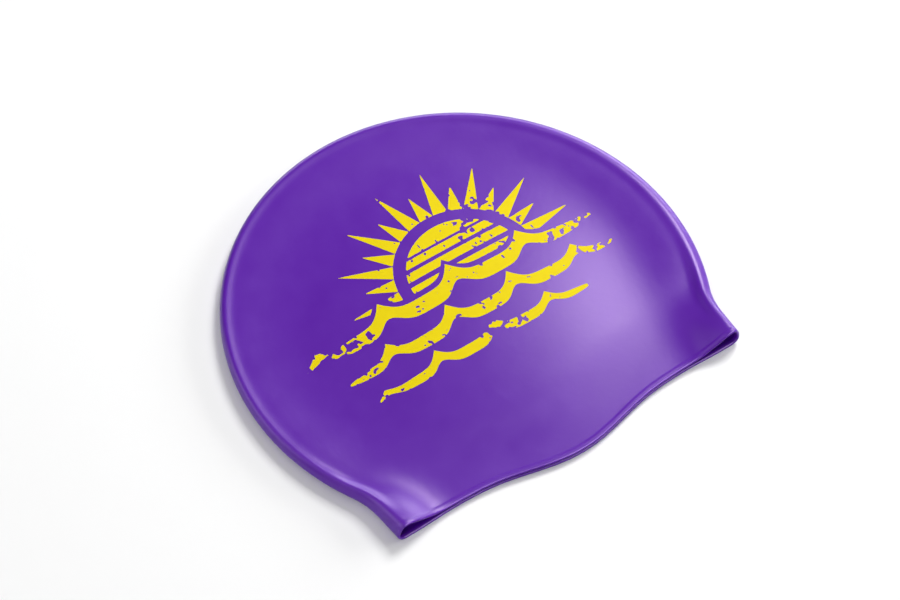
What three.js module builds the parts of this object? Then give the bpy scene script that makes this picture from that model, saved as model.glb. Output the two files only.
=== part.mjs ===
// Silicone swim cap, moulded in one piece and lying flat on its lower panel.
// Millimetres. +Z is up, +X runs along the mouth, and +Y runs from the mouth to the crown.
// The origin lies on the surface, under the middle of the cap.
//
// The cap is one shell. Each cross-section is a closed loop: over the upper panel from the left
// fold to the right one, and back along the lower panel. The loops start at the mouth and shrink
// to a point on the fold at the crown.

import * as THREE from 'three';

// Outline seen from above
const mouthWidth = 186.4;        // from fold to fold across the mouth
const bodyWidth = 222.8;         // across the widest part of the round body
const bodyRise = 82;             // from the mouth's corners to the widest part
const crownRise = 196.9;         // from the mouth's corners to the crown
const collarRise = 9.5;          // the nearly straight sides beside the mouth
const collarFlare = 0.7;         // how far these sides lean out over that rise
const neckRise = 28;             // where the neck has turned into the round body
const neckRoundness = 0.36;      // length of the neck curve's handles, as a share of its chord

// Edge of the mouth
const flapDrop = 8.2;            // how far the ear cover in the middle hangs below the corners
const flapHalfShare = 0.55;      // half width of the ear cover, as a share of half the mouth
const hollowRise = 0.65;         // shallow hollow in the edge on each side of the ear cover
const flapFade = 60;             // how far into the cap the ear cover still bends the sections

// Rolled fold along the outline
const noseHeight = 3.7;          // outermost point of the fold above the surface
const loopRidgeInset = 3.8;      // from the outline in to the top of the fold, at the mouth
const leftRidgeInset = 2.5;      // the same at the left of the body
const rightRidgeInset = 5;       // and at its right, where the fold is rounder
const footInset = 4.3;           // from the outline in to where the fold meets the surface
const foldHeight = 7.7;          // top of the fold round the body, without the dome
const loopHeight = 10.7;         // top of the open loop at each corner of the mouth

// Upper panel
const stackHeight = 3.6;         // top of the upper panel in the middle of the mouth
const loopReach = 13.5;          // distance past the ridge over which the corner loop closes
const crestReach = 2.4;          // distance past the ridge over which the crest falls
const shoulderRise = 3.4;        // height of the broad shoulder under the crest
const shoulderWidth = 22;        // distance past the ridge over which the shoulder falls
const shoulderStart = 60;        // distance from the mouth over which the shoulder grows
const panelHeight = 3.8;         // top of the panel without shoulder and dome
const domeX = -5;                // top of the dome, a little to the left of the middle
const domeY = 89;
const domeHalfWidth = 92;
const domeHalfLength = 100;
const domeRise = 5.6;
const domeRound = 0.2;           // roundness of the dome's foot, as a share of its half sizes
const neckBlend = 38;            // distance from the mouth over which its form turns into the body's

// Wall and rim
const wallThickness = 0.8;
const rimThickness = 1.25;       // wall of the rim bead at the mouth
const rimWidth = 2.2;            // width of the bead
const rimProud = 0.22;           // how far the bead stands above the upper panel
const rimRound = 0.4;            // how far the middle of the rim's edge stands forward

// Steps of the mesh
const noseSteps = 4;             // round each quarter of the fold
const shoulderReach = 25.5;      // from the outline in to where the close steps end
const shoulderShare = 0.8;       // the most that they take of half a section
const upperShoulderSteps = 4;    // from the ridge to there
const upperSteps = 5;            // from there to the middle of the upper panel
const lowerShoulderSteps = 1;    // from the foot of the fold to there
const lowerSteps = 4;            // from there to the middle of the lower panel
const rimRows = [0, 0.5, 1, 1.8]; // sections at the rim, in widths of its bead
const neckReach = 36.4;          // distance along the fold to where the neck's close sections end
const neckSteps = 7;             // sections from the rim to there
const bodySteps = 18;            // sections in the round body
const crownRings = 3;            // small sections round the point at the crown, outside its ridge
const crownReach = 20;           // distance from that point within which they lie
const outlineSamples = 400;      // points at which the distance to the fold is measured
const sectionHandle = 30;        // how far into the cap a wide section still runs square to its folds

const siliconePurple = new THREE.MeshStandardMaterial({
  color: 0x5a22b4,
  roughness: 0.38,
  metalness: 0,
});

// Half the outline, from the right corner of the mouth to the crown.
function makeFoldLine() {
  const corner = new THREE.Vector2(mouthWidth / 2, 0);
  const collarTop = new THREE.Vector2(mouthWidth / 2 + collarFlare, collarRise);
  const crownRadius = crownRise - bodyRise;
  const startAngle = -Math.asin((bodyRise - neckRise) / crownRadius);
  const body = new THREE.EllipseCurve(0, bodyRise, bodyWidth / 2, crownRadius, startAngle, Math.PI / 2);
  const bodyStart = body.getPoint(0);
  const handle = neckRoundness * collarTop.distanceTo(bodyStart);
  const collarDirection = collarTop.clone().sub(corner).normalize();
  const neck = new THREE.CubicBezierCurve(
    collarTop,
    collarTop.clone().addScaledVector(collarDirection, handle),
    bodyStart.clone().addScaledVector(body.getTangent(0), -handle),
    bodyStart,
  );
  const line = new THREE.CurvePath();
  line.add(new THREE.LineCurve(corner, collarTop));
  line.add(neck);
  line.add(body);
  return line;
}

const foldLine = makeFoldLine();
const foldLength = foldLine.getLength();
const foldPoints = foldLine.getSpacedPoints(outlineSamples);

function smooth(share) {
  const t = THREE.MathUtils.clamp(share, 0, 1);
  return t * t * (3 - 2 * t);
}

// Distance in from the outline. The cap is symmetric, so the right half of the outline is enough.
function insetAt(x, y) {
  const point = new THREE.Vector2(Math.abs(x), y);
  const segment = new THREE.Vector2();
  const offset = new THREE.Vector2();
  let nearest = Infinity;
  for (let i = 1; i < foldPoints.length; i++) {
    segment.subVectors(foldPoints[i], foldPoints[i - 1]);
    offset.subVectors(point, foldPoints[i - 1]);
    const along = THREE.MathUtils.clamp(offset.dot(segment) / segment.lengthSq(), 0, 1);
    nearest = Math.min(nearest, offset.addScaledVector(segment, -along).length());
  }
  return nearest;
}

// Edge of the mouth as a height along Y: the ear cover in the middle and a hollow beside it.
function mouthEdge(x) {
  const share = Math.abs(x) / (mouthWidth / 2);
  const cover = 0.5 + 0.5 * Math.cos(Math.PI * Math.min(share / flapHalfShare, 1));
  const hollowSpan = 1 - flapHalfShare;
  const hollow = THREE.MathUtils.clamp((share - hollowSpan) / hollowSpan, 0, 1);
  return hollowRise * Math.sin(Math.PI * hollow) ** 2 - flapDrop * cover;
}

// Share of the rim bead at a distance from the mouth: 1 on the bead, 0 past it.
function rimShare(fromMouth) {
  return 1 - smooth((fromMouth - rimWidth / 2) / (rimWidth / 2));
}

// A quarter of the fold's rounded section: 0 at the nose, 1 from its full depth inward.
function quarterRound(inset, depth) {
  const share = Math.min(inset / depth, 1);
  return Math.sqrt(1 - (1 - share) ** 2);
}

// Top of the upper panel at the mouth, past the ridge: the corner loop closing to the flat stack.
function mouthTop(past) {
  return stackHeight + (loopHeight - stackHeight) * Math.exp(-((past / loopReach) ** 2));
}

// Height of the rolled fold over the panel, past the ridge: a narrow crest on a broad shoulder
// that grows away from the mouth.
function foldRise(past, fromMouth) {
  const shoulder = shoulderRise * smooth(fromMouth / shoulderStart);
  const crest = (foldHeight - panelHeight - shoulder) * Math.exp(-((past / crestReach) ** 2));
  return crest + shoulder * Math.exp(-((past / shoulderWidth) ** 2));
}

// Height of the domed middle over the panel's edge.
function dome(x, y) {
  const away = ((x - domeX) / domeHalfWidth) ** 2 + ((y - domeY) / domeHalfLength) ** 2;
  return domeRise * 0.5 * (1 - away + Math.hypot(1 - away, domeRound));
}

// Distance from the outline in to the top of the fold, in the body.
function bodyRidgeInset(x) {
  return THREE.MathUtils.lerp(leftRidgeInset, rightRidgeInset, smooth(0.5 + x / bodyWidth));
}

function upperHeight(x, y) {
  const inset = insetAt(x, y);
  const fromMouth = y - mouthEdge(x);
  const inBody = smooth(fromMouth / neckBlend);
  const ridgeInset = THREE.MathUtils.lerp(loopRidgeInset, bodyRidgeInset(x), inBody);
  const past = Math.max(inset - ridgeInset, 0);
  const bodyTop = panelHeight + foldRise(past, fromMouth) + dome(x, y);
  const top = THREE.MathUtils.lerp(mouthTop(past), bodyTop, inBody);
  const bead = rimProud * rimShare(fromMouth);
  return noseHeight + (top - noseHeight + bead) * quarterRound(inset, ridgeInset);
}

function lowerHeight(x, y) {
  return noseHeight * (1 - quarterRound(insetAt(x, y), footInset));
}

// Distances from the fold to the middle of a panel, close together round the fold.
function stations(noseDepth, shoulderCount, middleCount, halfLength) {
  const squeeze = Math.min(1, shoulderShare * halfLength / shoulderReach);
  const list = [];
  for (let i = 0; i < noseSteps; i++) {
    list.push(squeeze * noseDepth * (1 - Math.cos((i / noseSteps) * Math.PI / 2)));
  }
  for (let i = 0; i < shoulderCount; i++) {
    list.push(squeeze * (noseDepth + (shoulderReach - noseDepth) * (i / shoulderCount)));
  }
  const start = squeeze * shoulderReach;
  for (let i = 0; i <= middleCount; i++) {
    list.push(start + (halfLength - start) * (i / middleCount));
  }
  return list;
}

// Plan of one section, from the left fold to the right one. Up to the widest part it runs straight
// across. Above it, it leaves both folds squarely, and turns to a half circle at the crown.
function sectionPlan(along) {
  const share = along / foldLength;
  const fold = foldLine.getPoint(share);
  const tangent = foldLine.getTangent(share);
  const across = new THREE.Vector2(-1, 0);
  const inward = fold.y > bodyRise ? new THREE.Vector2(-tangent.y, tangent.x) : across;
  const roundHandle = 4 * fold.x / 3;
  const handle = (roundHandle ** -4 + sectionHandle ** -4) ** -0.25;
  const right = fold.clone().addScaledVector(inward, handle);
  return new THREE.CubicBezierCurve(
    new THREE.Vector2(-fold.x, fold.y),
    new THREE.Vector2(-right.x, right.y),
    right,
    fold,
  );
}

// One closed section: the upper panel from left to right, then the lower panel back.
function sectionLoop(along) {
  const plan = sectionPlan(along);
  const length = plan.getLength();
  const flapShare = 1 - smooth(along / flapFade);
  const loop = [];
  const place = (distance, height) => {
    const point = plan.getPointAt(THREE.MathUtils.clamp(distance / length, 0, 1));
    const y = point.y + flapShare * mouthEdge(point.x);
    loop.push(new THREE.Vector3(point.x, y, height(point.x, y)));
  };
  const upper = stations(loopRidgeInset, upperShoulderSteps, upperSteps, length / 2);
  const lower = stations(footInset, lowerShoulderSteps, lowerSteps, length / 2);
  place(0, () => noseHeight);
  upper.slice(1).forEach((distance) => place(distance, upperHeight));
  upper.slice(1, -1).reverse().forEach((distance) => place(length - distance, upperHeight));
  place(length, () => noseHeight);
  lower.slice(1).forEach((distance) => place(length - distance, lowerHeight));
  lower.slice(1, -1).reverse().forEach((distance) => place(distance, lowerHeight));
  return loop;
}

// Distances along the fold at which the sections are made, from the mouth to the crown.
function sectionPlaces() {
  const places = rimRows.map((widths) => widths * rimWidth);
  const rimEnd = places[places.length - 1];
  for (let i = 1; i <= neckSteps; i++) {
    places.push(THREE.MathUtils.lerp(rimEnd, neckReach, i / neckSteps));
  }
  const bodyEnd = foldLength - crownReach;
  const crownRidge = bodyRidgeInset(0);
  for (let i = 1; i <= bodySteps; i++) {
    places.push(THREE.MathUtils.lerp(neckReach, bodyEnd, i / bodySteps));
  }
  for (let i = 1; i <= crownRings; i++) {
    const radius = THREE.MathUtils.lerp(crownReach, crownRidge, i / crownRings);
    places.push(foldLength - radius);
  }
  for (let i = noseSteps - 1; i > 0; i--) {
    places.push(foldLength - crownRidge * (1 - Math.cos((i / noseSteps) * Math.PI / 2)));
  }
  return places;
}

// Outward direction at each vertex of a closed or open triangle mesh.
function vertexNormals(vertices, triangles) {
  const geometry = new THREE.BufferGeometry().setFromPoints(vertices);
  geometry.setIndex(triangles);
  geometry.computeVertexNormals();
  const normals = geometry.getAttribute('normal');
  return vertices.map((_, i) => new THREE.Vector3().fromBufferAttribute(normals, i));
}

function quad(triangles, a, b, c, d) {
  triangles.push(a, b, c, a, c, d);
}

// The shell: the outer surface, the same surface one wall further in, and the rim between them.
function capShell() {
  const places = sectionPlaces();
  const loops = places.map(sectionLoop);
  const count = loops[0].length;
  const rows = loops.length;
  const outer = loops.flat();
  const pole = outer.length;
  outer.push(new THREE.Vector3(0, crownRise, noseHeight));

  const skin = [];
  for (let row = 0; row < rows; row++) {
    for (let i = 0; i < count; i++) {
      const here = row * count + i;
      const beside = row * count + (i + 1) % count;
      if (row < rows - 1) {
        quad(skin, here, beside, beside + count, here + count);
      } else {
        skin.push(here, beside, pole);
      }
    }
  }

  const normals = vertexNormals(outer, skin);
  const inner = outer.map((vertex, i) => {
    const row = Math.floor(i / count);
    const along = row < rows ? places[row] : foldLength;
    const wall = THREE.MathUtils.lerp(wallThickness, rimThickness, rimShare(along));
    return vertex.clone().addScaledVector(normals[i], -wall);
  });

  const triangles = [...skin];
  for (let i = 0; i < skin.length; i += 3) {
    triangles.push(skin[i] + outer.length, skin[i + 2] + outer.length, skin[i + 1] + outer.length);
  }
  const rimStart = outer.length + inner.length;
  const rim = [];
  for (let i = 0; i < count; i++) {
    rim.push(outer[i].clone().lerp(inner[i], 0.5).add(new THREE.Vector3(0, -rimRound, 0)));
    const next = (i + 1) % count;
    quad(triangles, i, rimStart + i, rimStart + next, next);
    quad(triangles, rimStart + i, outer.length + i, outer.length + next, rimStart + next);
  }

  const geometry = new THREE.BufferGeometry().setFromPoints([...outer, ...inner, ...rim]);
  geometry.setIndex(triangles);
  geometry.computeVertexNormals();
  geometry.computeBoundingBox();
  const box = geometry.boundingBox;
  geometry.translate(0, -(box.min.y + box.max.y) / 2, 0);
  return geometry;
}

const cap = new THREE.Group();
const shell = new THREE.Mesh(capShell(), siliconePurple);
shell.name = 'cap_shell';
cap.add(shell);

export default cap;
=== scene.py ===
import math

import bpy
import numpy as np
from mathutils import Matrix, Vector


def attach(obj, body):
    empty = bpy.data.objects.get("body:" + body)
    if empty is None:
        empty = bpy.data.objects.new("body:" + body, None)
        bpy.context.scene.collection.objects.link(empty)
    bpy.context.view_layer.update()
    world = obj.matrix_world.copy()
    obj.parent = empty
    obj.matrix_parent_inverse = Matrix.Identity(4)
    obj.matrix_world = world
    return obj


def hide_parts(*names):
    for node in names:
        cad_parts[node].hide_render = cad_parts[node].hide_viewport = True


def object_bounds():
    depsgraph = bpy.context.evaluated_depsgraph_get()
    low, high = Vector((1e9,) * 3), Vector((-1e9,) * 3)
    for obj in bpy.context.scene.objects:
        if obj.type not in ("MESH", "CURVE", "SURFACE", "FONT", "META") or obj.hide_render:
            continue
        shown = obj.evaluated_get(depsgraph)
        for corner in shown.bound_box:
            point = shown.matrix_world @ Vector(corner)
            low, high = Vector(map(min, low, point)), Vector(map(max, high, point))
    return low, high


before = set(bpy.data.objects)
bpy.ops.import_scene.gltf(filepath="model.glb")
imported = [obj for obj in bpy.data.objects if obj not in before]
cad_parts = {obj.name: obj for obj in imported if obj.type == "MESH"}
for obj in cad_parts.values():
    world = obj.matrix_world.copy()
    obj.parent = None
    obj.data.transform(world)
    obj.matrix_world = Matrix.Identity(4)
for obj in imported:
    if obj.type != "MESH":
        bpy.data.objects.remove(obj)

# A silicone swim cap lying flat on a pale floor, printed with a sun over waves.
# Sizes are in millimetres until mesh_object turns them into metres. The cap's plan has its
# origin at the middle of the mouth's chord, and place_y moves that to the frame's origin.

cad_low, cad_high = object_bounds()

MM = 0.001

# Outline seen from above
BODY_WIDTH = 222.8
MOUTH_WIDTH = 186.4
BODY_RISE = 82
CROWN_RISE = 196.9
COLLAR_RISE = 9.5
COLLAR_FLARE = 0.7
NECK_RISE = 28
NECK_ROUNDNESS = 0.36

# Edge of the mouth
FLAP_DROP = 8.2
FLAP_HALF_SHARE = 0.55
HOLLOW_RISE = 0.65
FLAP_FADE = 60

# Rolled fold along the outline
NOSE_HEIGHT = 3.7
LOOP_RIDGE_INSET = 3.8
LEFT_RIDGE_INSET = 2.5
RIGHT_RIDGE_INSET = 5
FOOT_INSET = 4.3
FOLD_HEIGHT = 7.7
LOOP_HEIGHT = 10.7

# Upper panel
STACK_HEIGHT = 3.6
LOOP_REACH = 13.5
CREST_REACH = 2.4
SHOULDER_RISE = 3.4
SHOULDER_WIDTH = 22
SHOULDER_START = 60
PANEL_HEIGHT = 3.8
DOME_X, DOME_Y = -5, 89
DOME_HALF_WIDTH = 92
DOME_HALF_LENGTH = 100
DOME_RISE = 5.6
DOME_ROUND = 0.2
NECK_BLEND = 38

# Wall and rim
WALL = 0.8
RIM_THICKNESS = 1.25
RIM_WIDTH = 2.2
RIM_PROUD = 0.22
RIM_ROUND = 0.9

# Steps of the mesh
NOSE_STEPS = 10
SHOULDER_REACH = 25.5
SHOULDER_SHARE = 0.8
UPPER_SHOULDER_STEPS = 18
UPPER_STEPS = 24
LOWER_SHOULDER_STEPS = 3
LOWER_STEPS = 10
SECTION_HANDLE = 30
NECK_REACH = 36.4
NECK_STEPS = 28
BODY_STEPS = 84
CROWN_REACH = 20
CROWN_RINGS = 12
RIM_ROWS = (0, 0.12, 0.25, 0.4, 0.55, 0.7, 0.85, 1, 1.2, 1.5, 1.8)
RIM_EDGE_STEPS = 6
OUTLINE_SAMPLES = 900
CURVE_SAMPLES = 200
TANGENT_STEP = 0.2
INSET_BLOCK = 2000
SHARP_ANGLE = 50

# Studio lights: softboxes facing the cap, azimuth from +X towards +Y, in degrees and metres.
# Lamps light everything, reflectors only show in the gloss, and fillers only light what is matt.
WORLD_RADIANCE = 0.04
SOFTBOXES = (
    dict(name="key", kind="lamp", azimuth=24, elevation=46, width=0.54, height=0.54, radiance=21),
    dict(name="left", kind="reflector", azimuth=146, elevation=26, width=1.3, height=1.3, radiance=2.4),
    dict(name="top", kind="reflector", azimuth=122, elevation=66, width=0.6, height=0.5, radiance=1.8),
    dict(name="back", kind="reflector", azimuth=58, elevation=14, width=1.5, height=0.6, radiance=5),
    dict(name="front", kind="lamp", azimuth=-155, elevation=36, width=0.9, height=1.7, radiance=2.2),
    dict(name="rim", kind="reflector", azimuth=-45, elevation=60, width=0.9, height=0.8, radiance=11),
    dict(name="right", kind="reflector", azimuth=-8, elevation=18, width=1.2, height=0.5, radiance=2),
    dict(name="low", kind="reflector", azimuth=28, elevation=10, width=0.6, height=0.4, radiance=8),
    dict(name="fill", kind="filler", azimuth=60, elevation=80, width=2.0, height=2.0, radiance=0.6),
    dict(name="side", kind="filler", azimuth=-12, elevation=18, width=1.6, height=0.5, radiance=7),
)
SOFTBOX_DISTANCE = 1.6
FLOOR_HALF = 3.0

# Camera: angles in degrees, aim in millimetres on the cap's plan, distance and clips in metres
CAMERA_TURN = -34.62
CAMERA_RISE = 54.80
CAMERA_AIM_X, CAMERA_AIM_Y = -1.74, 92.65
CAMERA_DISTANCE = 1.375
CAMERA_LENS = 120
CAMERA_SENSOR = 36
CAMERA_NEAR, CAMERA_FAR = 0.05, 20

# Materials: base colours, and depths of relief in metres
SILICONE_DARK = (0.088, 0.0040, 0.340)
SILICONE_LIGHT = (0.096, 0.0050, 0.370)
SILICONE_SHEEN = (0.95, 0.74, 1)
SILICONE_IOR = 1.5
SILICONE_ROUGHNESS = (0.29, 0.32)
INK_THIN = (0.72, 0.56, 0.0015)
INK_FULL = (0.80, 0.64, 0.002)
INK_SPECULAR = 0.05
INK_ROUGHNESS = (0.46, 0.58)
FLOOR_COLOUR = (0.95, 0.95, 0.95)
FLOOR_ROUGHNESS = 0.9
RIPPLE_DEPTH = 0.00003
GRAIN_DEPTH = 0.00001
NOISE_LOW, NOISE_HIGH = 0.3, 0.7

# Noise patterns of the materials, in features per metre
CLOUDS = dict(scale=90, detail=3)
RIPPLE = dict(scale=320, detail=2)
SILICONE_GRAIN = dict(scale=1500, detail=3)
BLOTCHES = dict(scale=160, detail=4)
INK_GRAIN = dict(scale=1800, detail=3)

# Print on the upper panel: a worn sun over three waves
PRINT_LEFT, PRINT_RIGHT = -84, 84
PRINT_LOW, PRINT_HIGH = 26, 156
PRINT_CELL = 0.5
PRINT_PROUD = 0.06
PRINT_DEPTH = 0.25
SUN_X, SUN_Y = 12, 97
SUN_RADIUS = 29
SUN_GAP = 3
SLITS = (
    dict(rise=7, width=2.8),
    dict(rise=14, width=2.1),
    dict(rise=20, width=1.4),
)
RAY_START = 35
RAY_ENDS = (61, 50)
RAY_COUNT = 15
RAY_WIDTH = 7
WAVE_LEAN = 0.4
WAVE_TAPER_POWER = 2.5
SWELL_SHARE = 0.75
WAVES = (
    dict(x=-1, y=92, half=79, crest=9, length=38, thick=8.5, shift=4),
    dict(x=5, y=75, half=73, crest=8, length=34, thick=7, shift=-9),
    dict(x=-4, y=60, half=58, crest=6.5, length=30, thick=5.5, shift=3),
)
WORN_SPOTS = (
    dict(x=-64, y=88, reach=18, amount=0.36),
    dict(x=72, y=84, reach=16, amount=0.38),
    dict(x=4, y=59, reach=16, amount=0.32),
    dict(x=32, y=118, reach=14, amount=0.26),
)
WEAR_LEVEL = 0.80
WEAR_SLOPE = 5
WEAR_GRAINS = (
    dict(share=0.55, size=2.6),
    dict(share=0.45, size=1.2),
)
PRINT_SEED = 7

CROWN_Y = cad_high.y / MM
place_y = CROWN_Y - CROWN_RISE


def smooth(share):
    t = np.clip(share, 0, 1)
    return t * t * (3 - 2 * t)


def mix(a, b, share):
    return a + (b - a) * share


def bezier(p0, p1, p2, p3, count):
    """Points of a cubic curve, evenly spaced in its parameter."""
    t = np.linspace(0, 1, count + 1)[:, None]
    p0, p1, p2, p3 = (np.asarray(p, float) for p in (p0, p1, p2, p3))
    return (1 - t) ** 3 * p0 + 3 * (1 - t) ** 2 * t * p1 + 3 * (1 - t) * t * t * p2 + t ** 3 * p3


def by_length(points):
    """Length along a line of points, from its start to each of them."""
    steps = np.linalg.norm(np.diff(points, axis=0), axis=1)
    return np.concatenate([[0], np.cumsum(steps)])


def at_length(points, lengths, where):
    """Places at given lengths along a line of points."""
    return np.column_stack([np.interp(where, lengths, points[:, k]) for k in range(2)])


def make_fold_line():
    """Half the outline as a fine line of points, from the mouth's right corner to the crown."""
    corner = np.array([MOUTH_WIDTH / 2, 0.0])
    collar_top = corner + (COLLAR_FLARE, COLLAR_RISE)
    crown_radius = CROWN_RISE - BODY_RISE
    start = -math.asin((BODY_RISE - NECK_RISE) / crown_radius)
    angles = np.linspace(start, math.pi / 2, OUTLINE_SAMPLES)
    body = np.column_stack([
        BODY_WIDTH / 2 * np.cos(angles),
        BODY_RISE + crown_radius * np.sin(angles),
    ])
    body_tangent = np.array([-BODY_WIDTH / 2 * math.sin(start), crown_radius * math.cos(start)])
    body_tangent /= np.linalg.norm(body_tangent)
    collar_direction = (collar_top - corner) / np.linalg.norm(collar_top - corner)
    handle = NECK_ROUNDNESS * np.linalg.norm(body[0] - collar_top)
    neck = bezier(
        collar_top,
        collar_top + collar_direction * handle,
        body[0] - body_tangent * handle,
        body[0],
        CURVE_SAMPLES,
    )
    collar = np.linspace(corner, collar_top, CURVE_SAMPLES // 4)
    return np.vstack([collar, neck[1:], body[1:]])


fold_points = make_fold_line()
fold_lengths = by_length(fold_points)
fold_length = fold_lengths[-1]


def inset_at(x, y):
    """Distance in from the outline for arrays of plan points. The cap is symmetric."""
    points = np.column_stack([np.abs(x), y])
    starts = fold_points[:-1]
    segments = np.diff(fold_points, axis=0)
    squares = np.einsum("ij,ij->i", segments, segments)
    nearest = np.empty(len(points))
    for first in range(0, len(points), INSET_BLOCK):
        offset = points[first:first + INSET_BLOCK, None] - starts[None]
        along = np.clip(np.einsum("ijk,jk->ij", offset, segments) / squares, 0, 1)
        offset -= along[..., None] * segments[None]
        squared = np.einsum("ijk,ijk->ij", offset, offset).min(axis=1)
        nearest[first:first + INSET_BLOCK] = np.sqrt(squared)
    return nearest


def mouth_edge(x):
    """The mouth's edge above its chord: down in the middle's bulge, slightly up beside it."""
    share = np.abs(x) / (MOUTH_WIDTH / 2)
    cover = 0.5 + 0.5 * np.cos(np.pi * np.minimum(share / FLAP_HALF_SHARE, 1))
    hollow_span = 1 - FLAP_HALF_SHARE
    hollow = np.clip((share - hollow_span) / hollow_span, 0, 1)
    return HOLLOW_RISE * np.sin(np.pi * hollow) ** 2 - FLAP_DROP * cover


def rim_share(from_mouth):
    """Share of the rim's bead: 1 on the bead, 0 past it."""
    return 1 - smooth((from_mouth - RIM_WIDTH / 2) / (RIM_WIDTH / 2))


def quarter_round(inset, depth):
    """A quarter circle's rise from 0 at the outline to 1 at the given depth."""
    return np.sqrt(np.maximum(1 - (1 - np.minimum(inset / depth, 1)) ** 2, 0))


def mouth_top(past):
    """Height of the upper panel at the mouth, highest in the loops at its corners."""
    return STACK_HEIGHT + (LOOP_HEIGHT - STACK_HEIGHT) * np.exp(-(past / LOOP_REACH) ** 2)


def fold_rise(past, from_mouth):
    """Height of the rolled fold over the panel: a narrow crest on a shoulder that grows upwards."""
    shoulder = SHOULDER_RISE * smooth(from_mouth / SHOULDER_START)
    crest = FOLD_HEIGHT - PANEL_HEIGHT - shoulder
    return crest * np.exp(-(past / CREST_REACH) ** 2) + shoulder * np.exp(-(past / SHOULDER_WIDTH) ** 2)


def dome(x, y):
    """Height of the domed middle over the panel's edge. It leans a little to the left."""
    away = ((x - DOME_X) / DOME_HALF_WIDTH) ** 2 + ((y - DOME_Y) / DOME_HALF_LENGTH) ** 2
    return DOME_RISE * 0.5 * (1 - away + np.hypot(1 - away, DOME_ROUND))


def body_ridge_inset(x):
    """Distance from the outline in to the top of the fold: the right fold is the rounder one."""
    return mix(LEFT_RIDGE_INSET, RIGHT_RIDGE_INSET, smooth(0.5 + x / BODY_WIDTH))


def upper_height(x, y):
    """Height of the upper panel's outer face over the floor, for arrays of plan points."""
    inset = inset_at(x, y)
    from_mouth = y - mouth_edge(x)
    in_body = smooth(from_mouth / NECK_BLEND)
    ridge_inset = mix(LOOP_RIDGE_INSET, body_ridge_inset(x), in_body)
    past = np.maximum(inset - ridge_inset, 0)
    body_top = PANEL_HEIGHT + fold_rise(past, from_mouth) + dome(x, y)
    top = mix(mouth_top(past), body_top, in_body)
    bead = RIM_PROUD * rim_share(from_mouth)
    return NOSE_HEIGHT + (top - NOSE_HEIGHT + bead) * quarter_round(inset, ridge_inset)


def lower_height(x, y):
    """Height of the lower panel's outer face: on the floor inside the fold's foot."""
    return NOSE_HEIGHT * (1 - quarter_round(inset_at(x, y), FOOT_INSET))


def stations(nose_depth, shoulder_count, middle_count, half_length):
    """Distances from the fold to the middle of a panel, close together round the fold."""
    squeeze = min(1, SHOULDER_SHARE * half_length / SHOULDER_REACH)
    turn = np.arange(NOSE_STEPS) / NOSE_STEPS * math.pi / 2
    nose = squeeze * nose_depth * (1 - np.cos(turn))
    shoulder = squeeze * mix(nose_depth, SHOULDER_REACH, np.arange(shoulder_count) / shoulder_count)
    middle = mix(squeeze * SHOULDER_REACH, half_length, np.arange(middle_count + 1) / middle_count)
    return np.concatenate([nose, shoulder, middle])


def section_plan(along):
    """Plan of one section as a fine line of points, from the left fold to the right one."""
    fold = at_length(fold_points, fold_lengths, [along])[0]
    before, after = max(along - TANGENT_STEP, 0), min(along + TANGENT_STEP, fold_length)
    near = at_length(fold_points, fold_lengths, [before, after])
    tangent = near[1] - near[0]
    tangent /= np.linalg.norm(tangent)
    inward = np.array([-tangent[1], tangent[0]]) if fold[1] > BODY_RISE else np.array([-1.0, 0.0])
    handle = ((4 * fold[0] / 3) ** -4 + SECTION_HANDLE ** -4.0) ** -0.25
    right = fold + inward * handle
    mirror = np.array([-1, 1])
    return bezier(fold * mirror, right * mirror, right, fold, CURVE_SAMPLES)


def section_loop(along):
    """Plan points of one closed section and where its two folds are: upper panel, then lower."""
    plan = section_plan(along)
    lengths = by_length(plan)
    length = lengths[-1]
    flap_share = 1 - smooth(along / FLAP_FADE)
    upper = stations(LOOP_RIDGE_INSET, UPPER_SHOULDER_STEPS, UPPER_STEPS, length / 2)
    lower = stations(FOOT_INSET, LOWER_SHOULDER_STEPS, LOWER_STEPS, length / 2)
    across_upper = np.concatenate([upper, length - upper[-2::-1]])
    across_lower = np.concatenate([length - lower[1:], lower[-2:0:-1]])
    points = at_length(plan, lengths, np.concatenate([across_upper, across_lower]))
    points[:, 1] += flap_share * mouth_edge(points[:, 0])
    return points, len(across_upper)


def section_places():
    """Distances along the fold at which the sections are made, from the mouth to the crown."""
    rim = np.array(RIM_ROWS) * RIM_WIDTH
    neck = mix(rim[-1], NECK_REACH, np.arange(1, NECK_STEPS + 1) / NECK_STEPS)
    body_end = fold_length - CROWN_REACH
    body = mix(NECK_REACH, body_end, np.arange(1, BODY_STEPS + 1) / BODY_STEPS)
    rings = fold_length - mix(CROWN_REACH, LOOP_RIDGE_INSET, np.arange(1, CROWN_RINGS + 1) / CROWN_RINGS)
    turn = np.arange(NOSE_STEPS - 1, 0, -1) / NOSE_STEPS * math.pi / 2
    tip = fold_length - LOOP_RIDGE_INSET * (1 - np.cos(turn))
    return np.concatenate([rim, neck, body, rings, tip])


def vertex_normals(vertices, quads, triangles):
    """Unit normals at the vertices, from the faces round them."""
    normals = np.zeros_like(vertices)
    for faces in (quads[:, [0, 1, 2]], quads[:, [0, 2, 3]], triangles):
        a, b, c = (vertices[faces[:, k]] for k in range(3))
        face_normal = np.cross(b - a, c - a)
        for k in range(3):
            np.add.at(normals, faces[:, k], face_normal)
    return normals / np.linalg.norm(normals, axis=1)[:, None]


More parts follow.
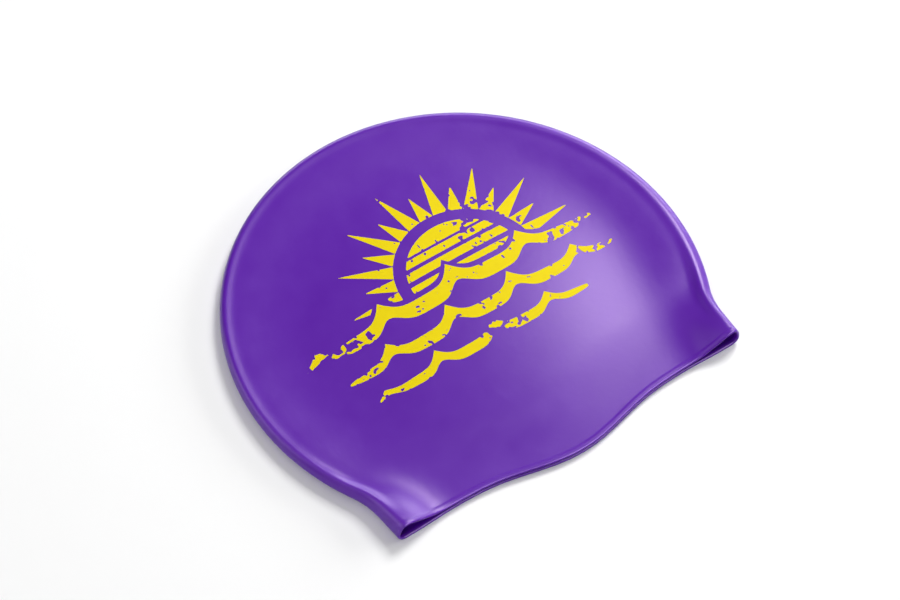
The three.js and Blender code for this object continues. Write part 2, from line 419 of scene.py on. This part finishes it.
def outer_face(places):
    """Points of the outer face, section by section and then the crown's pole, and a section's count."""
    loops = [section_loop(along) for along in places]
    upper_count = loops[0][1]
    count = len(loops[0][0])
    rows = len(places)
    plan = np.vstack([loop for loop, _ in loops])
    on_upper = np.tile(np.arange(count) < upper_count, rows)
    height = np.empty(len(plan))
    height[on_upper] = upper_height(*plan[on_upper].T)
    height[~on_upper] = lower_height(*plan[~on_upper].T)
    ends = np.tile(np.isin(np.arange(count), (0, upper_count - 1)), rows)
    height[ends] = NOSE_HEIGHT
    return np.vstack([np.column_stack([plan, height]), [0, CROWN_RISE, NOSE_HEIGHT]]), count


def face_indices(rows, count):
    """Quads between neighbouring sections, and the fan of triangles that closes the crown."""
    row, item = np.meshgrid(np.arange(rows), np.arange(count), indexing="ij")
    here = row * count + item
    beside = row * count + (item + 1) % count
    quads = np.stack([here, beside, beside + count, here + count], axis=-1)[:-1].reshape(-1, 4)
    fan = np.column_stack([here[-1], beside[-1], np.full(count, rows * count)])
    return quads, fan


def rim_edge(outer, inner, count):
    """The mouth's rounded edge, from the first section of the outer face to that of the inner one."""
    first = np.arange(count)
    around = np.roll(first, -1)
    previous = first
    next_free = len(outer) + len(inner)
    vertices, quads = [], []
    for step in range(1, RIM_EDGE_STEPS + 1):
        if step == RIM_EDGE_STEPS:
            edge = first + len(outer)
        else:
            turn = math.pi * step / RIM_EDGE_STEPS
            middle = mix(outer[:count], inner[:count], 0.5 - 0.5 * math.cos(turn))
            vertices.append(middle + (0, -RIM_ROUND * math.sin(turn), 0))
            edge = next_free + first
            next_free += count
        quads.append(np.column_stack([previous, edge, edge[around], previous[around]]))
        previous = edge
    return vertices, quads


def cap_mesh():
    """Vertices in millimetres, quads and triangles of the whole shell."""
    places = section_places()
    outer, count = outer_face(places)
    quads, fan = face_indices(len(places), count)
    normals = vertex_normals(outer, quads, fan)
    along = np.append(np.repeat(places, count), fold_length)
    wall = mix(WALL, RIM_THICKNESS, rim_share(along))
    inner = outer - normals * wall[:, None]
    rim_vertices, rim_quads = rim_edge(outer, inner, count)
    shift = len(outer)
    return (
        np.vstack([outer, inner, *rim_vertices]),
        np.vstack([quads, quads[:, ::-1] + shift, *rim_quads]),
        np.vstack([fan, fan[:, ::-1] + shift]),
    )


def value_noise(x, y, size, generator):
    """Smooth random values from 0 to 1 whose features are about size across."""
    columns, rows = x / size, y / size
    left, low = math.floor(columns.min()), math.floor(rows.min())
    shape = (math.ceil(columns.max()) - left + 2, math.ceil(rows.max()) - low + 2)
    lattice = generator.random(shape)
    i, j = np.floor(columns).astype(int), np.floor(rows).astype(int)
    u, v = smooth(columns - i), smooth(rows - j)
    i, j = i - left, j - low
    near = mix(lattice[i, j], lattice[i + 1, j], u)
    far = mix(lattice[i, j + 1], lattice[i + 1, j + 1], u)
    return mix(near, far, v)


def wave_edges(wave, x):
    """Upper and lower edge of a wave band: cusped crests above, a soft swell below."""
    share = np.abs((x - wave["x"]) / wave["half"])
    taper = np.sqrt(np.maximum(1 - share ** WAVE_TAPER_POWER, 0))
    turn = np.pi * (x - wave["shift"]) / wave["length"]
    turn = turn + WAVE_LEAN * np.sin(2 * turn)
    crest = wave["crest"] * (1 - np.abs(np.sin(turn)))
    swell = wave["crest"] * (0.5 + 0.5 * np.cos(2 * turn)) * SWELL_SHARE
    upper = wave["y"] + (wave["thick"] / 2 + crest) * taper
    lower = wave["y"] + (swell - wave["thick"] / 2) * taper
    return upper, lower, share


def wave_ink(wave, x, y):
    """Positive inside one wave band."""
    upper, lower, share = wave_edges(wave, x)
    ink = np.minimum(upper - y, y - lower)
    return np.where(share < 1, ink, -1)


def sun_ink(x, y):
    """The disc with its slits and the rays round it, above the highest wave."""
    across, up = x - SUN_X, y - SUN_Y
    radius = np.hypot(across, up)
    disc = SUN_RADIUS - radius
    for slit in SLITS:
        disc = np.minimum(disc, np.abs(up - slit["rise"]) - slit["width"] / 2)
    turn = np.arctan2(up, across) / np.pi * RAY_COUNT - 0.5
    nearest = np.round(turn)
    end = np.where(nearest % 2 == 0, *RAY_ENDS)
    aside = radius * np.abs(turn - nearest) * np.pi / RAY_COUNT
    half_width = RAY_WIDTH / 2 * (end - radius) / (end - RAY_START)
    ray = np.minimum(half_width - aside, radius - RAY_START)
    ink = np.maximum(disc, ray)
    horizon = wave_edges(WAVES[0], x)[0] + SUN_GAP
    return np.minimum(ink, y - horizon)


def unworn_level(x, y):
    """Positive where the ink has stayed on: it flakes in a grain, and more round the worn spots."""
    generator = np.random.default_rng(PRINT_SEED)
    wear = np.zeros_like(x)
    for spot in WORN_SPOTS:
        away = np.hypot(x - spot["x"], y - spot["y"]) / spot["reach"]
        wear = np.maximum(wear, spot["amount"] * np.exp(-away ** 2))
    grain = sum(part["share"] * value_noise(x, y, part["size"], generator) for part in WEAR_GRAINS)
    return WEAR_SLOPE * (WEAR_LEVEL - wear - grain)


def print_field(x, y):
    """Positive inside the ink and negative outside it, in rough millimetres from its edge."""
    ink = sun_ink(x, y)
    for wave in WAVES:
        ink = np.maximum(ink, wave_ink(wave, x, y))
    return np.minimum(ink, unworn_level(x, y))


def ink_polygons(field, xs, ys):
    """Plan points and counter-clockwise polygons of the area where the field is positive."""
    points, polygons, known = [], [], {}

    def corner(i, j):
        if (i, j) not in known:
            known[i, j] = len(points)
            points.append((xs[i], ys[j]))
        return known[i, j]

    def crossing(a, b):
        first, second = sorted((a, b))
        if (first, second) not in known:
            start, end = field[first], field[second]
            share = start / (start - end)
            known[first, second] = len(points)
            points.append((
                mix(xs[first[0]], xs[second[0]], share),
                mix(ys[first[1]], ys[second[1]], share),
            ))
        return known[first, second]

    wet = field > 0
    touched = wet[:-1, :-1] | wet[1:, :-1] | wet[:-1, 1:] | wet[1:, 1:]
    for i, j in np.argwhere(touched).tolist():
        around = [(i, j), (i + 1, j), (i + 1, j + 1), (i, j + 1)]
        polygon = []
        for k in range(4):
            here, after = around[k], around[(k + 1) % 4]
            if wet[here]:
                polygon.append(corner(*here))
            if wet[here] != wet[after]:
                polygon.append(crossing(here, after))
        polygons.append(polygon)
    return np.array(points), polygons


def print_mesh():
    """A thin closed body of ink that follows the upper panel, its back sunk in the silicone."""
    xs = np.arange(PRINT_LEFT, PRINT_RIGHT + PRINT_CELL, PRINT_CELL)
    ys = np.arange(PRINT_LOW, PRINT_HIGH + PRINT_CELL, PRINT_CELL)
    grid_x, grid_y = np.meshgrid(xs, ys, indexing="ij")
    plan, polygons = ink_polygons(print_field(grid_x, grid_y), xs, ys)
    height = upper_height(*plan.T) + PRINT_PROUD
    top = np.column_stack([plan, height])
    count = len(top)
    faces = list(polygons)
    edges = set()
    for polygon in polygons:
        faces.append([index + count for index in reversed(polygon)])
        edges.update(zip(polygon, polygon[1:] + polygon[:1]))
    for a, b in sorted(edges):
        if (b, a) not in edges:
            faces.append([b, a, a + count, b + count])
    return np.vstack([top, top - (0, 0, PRINT_DEPTH)]), faces


def mesh_object(name, vertices, faces, material):
    """A smooth mesh object from points in millimetres, in the frame's place."""
    placed = (np.asarray(vertices, float) + (0, place_y, 0)) * MM
    mesh = bpy.data.meshes.new(name)
    mesh.from_pydata(placed.tolist(), [], faces)
    mesh.shade_smooth()
    mesh.set_sharp_from_angle(angle=math.radians(SHARP_ANGLE))
    mesh.materials.append(material)
    piece = bpy.data.objects.new(name, mesh)
    bpy.context.scene.collection.objects.link(piece)
    return piece


def new_material(name):
    material = bpy.data.materials.new(name)
    material.use_nodes = True
    nodes = material.node_tree.nodes
    return material, nodes, material.node_tree.links, nodes["Principled BSDF"]


def noise_node(nodes, links, place, pattern):
    """A noise pattern fixed to the object."""
    noise = nodes.new("ShaderNodeTexNoise")
    noise.inputs["Scale"].default_value = pattern["scale"]
    noise.inputs["Detail"].default_value = pattern["detail"]
    links.new(place.outputs["Object"], noise.inputs["Vector"])
    return noise


def vary_colour(nodes, links, noise, dark, light, shader):
    """Let the base colour drift between two tones with the noise."""
    tones = nodes.new("ShaderNodeMix")
    tones.data_type = "RGBA"
    tones.inputs["A"].default_value = (*dark, 1)
    tones.inputs["B"].default_value = (*light, 1)
    links.new(noise.outputs["Fac"], tones.inputs["Factor"])
    links.new(tones.outputs["Result"], shader.inputs["Base Color"])


def vary_roughness(nodes, links, noise, limits, shader):
    """Let the roughness drift between its two limits with the noise."""
    spread = nodes.new("ShaderNodeMapRange")
    spread.inputs["From Min"].default_value = NOISE_LOW
    spread.inputs["From Max"].default_value = NOISE_HIGH
    spread.inputs["To Min"].default_value = limits[0]
    spread.inputs["To Max"].default_value = limits[1]
    links.new(noise.outputs["Fac"], spread.inputs["Value"])
    links.new(spread.outputs["Result"], shader.inputs["Roughness"])


def add_bump(nodes, links, noise, depth, before=None):
    """A relief of the given depth in metres, on top of the one before it."""
    bump = nodes.new("ShaderNodeBump")
    bump.inputs["Distance"].default_value = depth
    links.new(noise.outputs["Fac"], bump.inputs["Height"])
    if before:
        links.new(before.outputs["Normal"], bump.inputs["Normal"])
    return bump


def silicone_material():
    """Satin silicone: soft waves from the mould, a fine matt grain, and faint cloudy colour."""
    material, nodes, links, shader = new_material("silicone")
    place = nodes.new("ShaderNodeTexCoord")
    clouds = noise_node(nodes, links, place, CLOUDS)
    ripple = noise_node(nodes, links, place, RIPPLE)
    grain = noise_node(nodes, links, place, SILICONE_GRAIN)
    vary_colour(nodes, links, clouds, SILICONE_DARK, SILICONE_LIGHT, shader)
    vary_roughness(nodes, links, clouds, SILICONE_ROUGHNESS, shader)
    waves = add_bump(nodes, links, ripple, RIPPLE_DEPTH)
    relief = add_bump(nodes, links, grain, GRAIN_DEPTH, waves)
    links.new(relief.outputs["Normal"], shader.inputs["Normal"])
    shader.inputs["IOR"].default_value = SILICONE_IOR
    shader.inputs["Specular Tint"].default_value = (*SILICONE_SHEEN, 1)
    return material


def ink_material():
    """Matt screen ink, thinner and darker in faint blotches."""
    material, nodes, links, shader = new_material("ink_yellow")
    place = nodes.new("ShaderNodeTexCoord")
    blotches = noise_node(nodes, links, place, BLOTCHES)
    grain = noise_node(nodes, links, place, INK_GRAIN)
    vary_colour(nodes, links, blotches, INK_THIN, INK_FULL, shader)
    vary_roughness(nodes, links, blotches, INK_ROUGHNESS, shader)
    relief = add_bump(nodes, links, grain, GRAIN_DEPTH)
    links.new(relief.outputs["Normal"], shader.inputs["Normal"])
    shader.inputs["Specular IOR Level"].default_value = INK_SPECULAR
    return material


def floor_material():
    material, _, _, shader = new_material("floor_white")
    shader.inputs["Base Color"].default_value = (*FLOOR_COLOUR, 1)
    shader.inputs["Roughness"].default_value = FLOOR_ROUGHNESS
    shader.inputs["Specular IOR Level"].default_value = 0.0
    return material


def make_camera():
    """The camera at the photo's angle."""
    camera = bpy.data.objects.new("camera", bpy.data.cameras.new("camera"))
    bpy.context.scene.collection.objects.link(camera)
    turn, rise = math.radians(CAMERA_TURN), math.radians(CAMERA_RISE)
    back = Vector((
        math.sin(turn) * math.cos(rise),
        -math.cos(turn) * math.cos(rise),
        math.sin(rise),
    ))
    aim = Vector((CAMERA_AIM_X, CAMERA_AIM_Y + place_y, 0)) * MM
    camera.location = aim + back * CAMERA_DISTANCE
    camera.rotation_mode = "QUATERNION"
    camera.rotation_quaternion = (-back).to_track_quat("-Z", "Y")
    camera.data.lens = CAMERA_LENS
    camera.data.sensor_width = CAMERA_SENSOR
    camera.data.clip_start = CAMERA_NEAR
    camera.data.clip_end = CAMERA_FAR
    bpy.context.scene.camera = camera


def add_softbox(box):
    """One of the studio's lights, facing the frame's origin."""
    light = bpy.data.lights.new(box["name"], "AREA")
    light.shape = "RECTANGLE"
    light.size, light.size_y = box["width"], box["height"]
    light.energy = box["radiance"] * math.pi * box["width"] * box["height"]
    lamp = bpy.data.objects.new(box["name"], light)
    bpy.context.scene.collection.objects.link(lamp)
    lamp.visible_glossy = box["kind"] != "filler"
    lamp.visible_diffuse = box["kind"] != "reflector"
    turn, rise = math.radians(box["azimuth"]), math.radians(box["elevation"])
    towards = Vector((math.cos(turn) * math.cos(rise), math.sin(turn) * math.cos(rise), math.sin(rise)))
    lamp.location = towards * SOFTBOX_DISTANCE
    lamp.rotation_mode = "QUATERNION"
    lamp.rotation_quaternion = towards.to_track_quat("Z", "Y")


def make_stage():
    """The floor, the faint even light all round, and the softboxes."""
    mesh = bpy.data.meshes.new("floor")
    corners = [(-1, -1, 0), (1, -1, 0), (1, 1, 0), (-1, 1, 0)]
    places = [(x * FLOOR_HALF, y * FLOOR_HALF, z) for x, y, z in corners]
    mesh.from_pydata(places, [], [(0, 1, 2, 3)])
    mesh.materials.append(floor_material())
    floor = bpy.data.objects.new("floor", mesh)
    bpy.context.scene.collection.objects.link(floor)
    world = bpy.data.worlds.new("studio")
    bpy.context.scene.world = world
    world.use_nodes = True
    background = world.node_tree.nodes["Background"]
    background.inputs["Color"].default_value = (1, 1, 1, 1)
    background.inputs["Strength"].default_value = WORLD_RADIANCE
    for box in SOFTBOXES:
        add_softbox(box)
    bpy.context.scene.view_settings.view_transform = "Standard"


make_camera()
make_stage()
vertices, quads, triangles = cap_mesh()
cap = mesh_object("cap", vertices, quads.tolist() + triangles.tolist(), silicone_material())
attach(cap, "root")
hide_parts("cap_shell")

vertices, faces = print_mesh()
sun_print = mesh_object("sun_print", vertices, faces, ink_material())
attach(sun_print, "root")
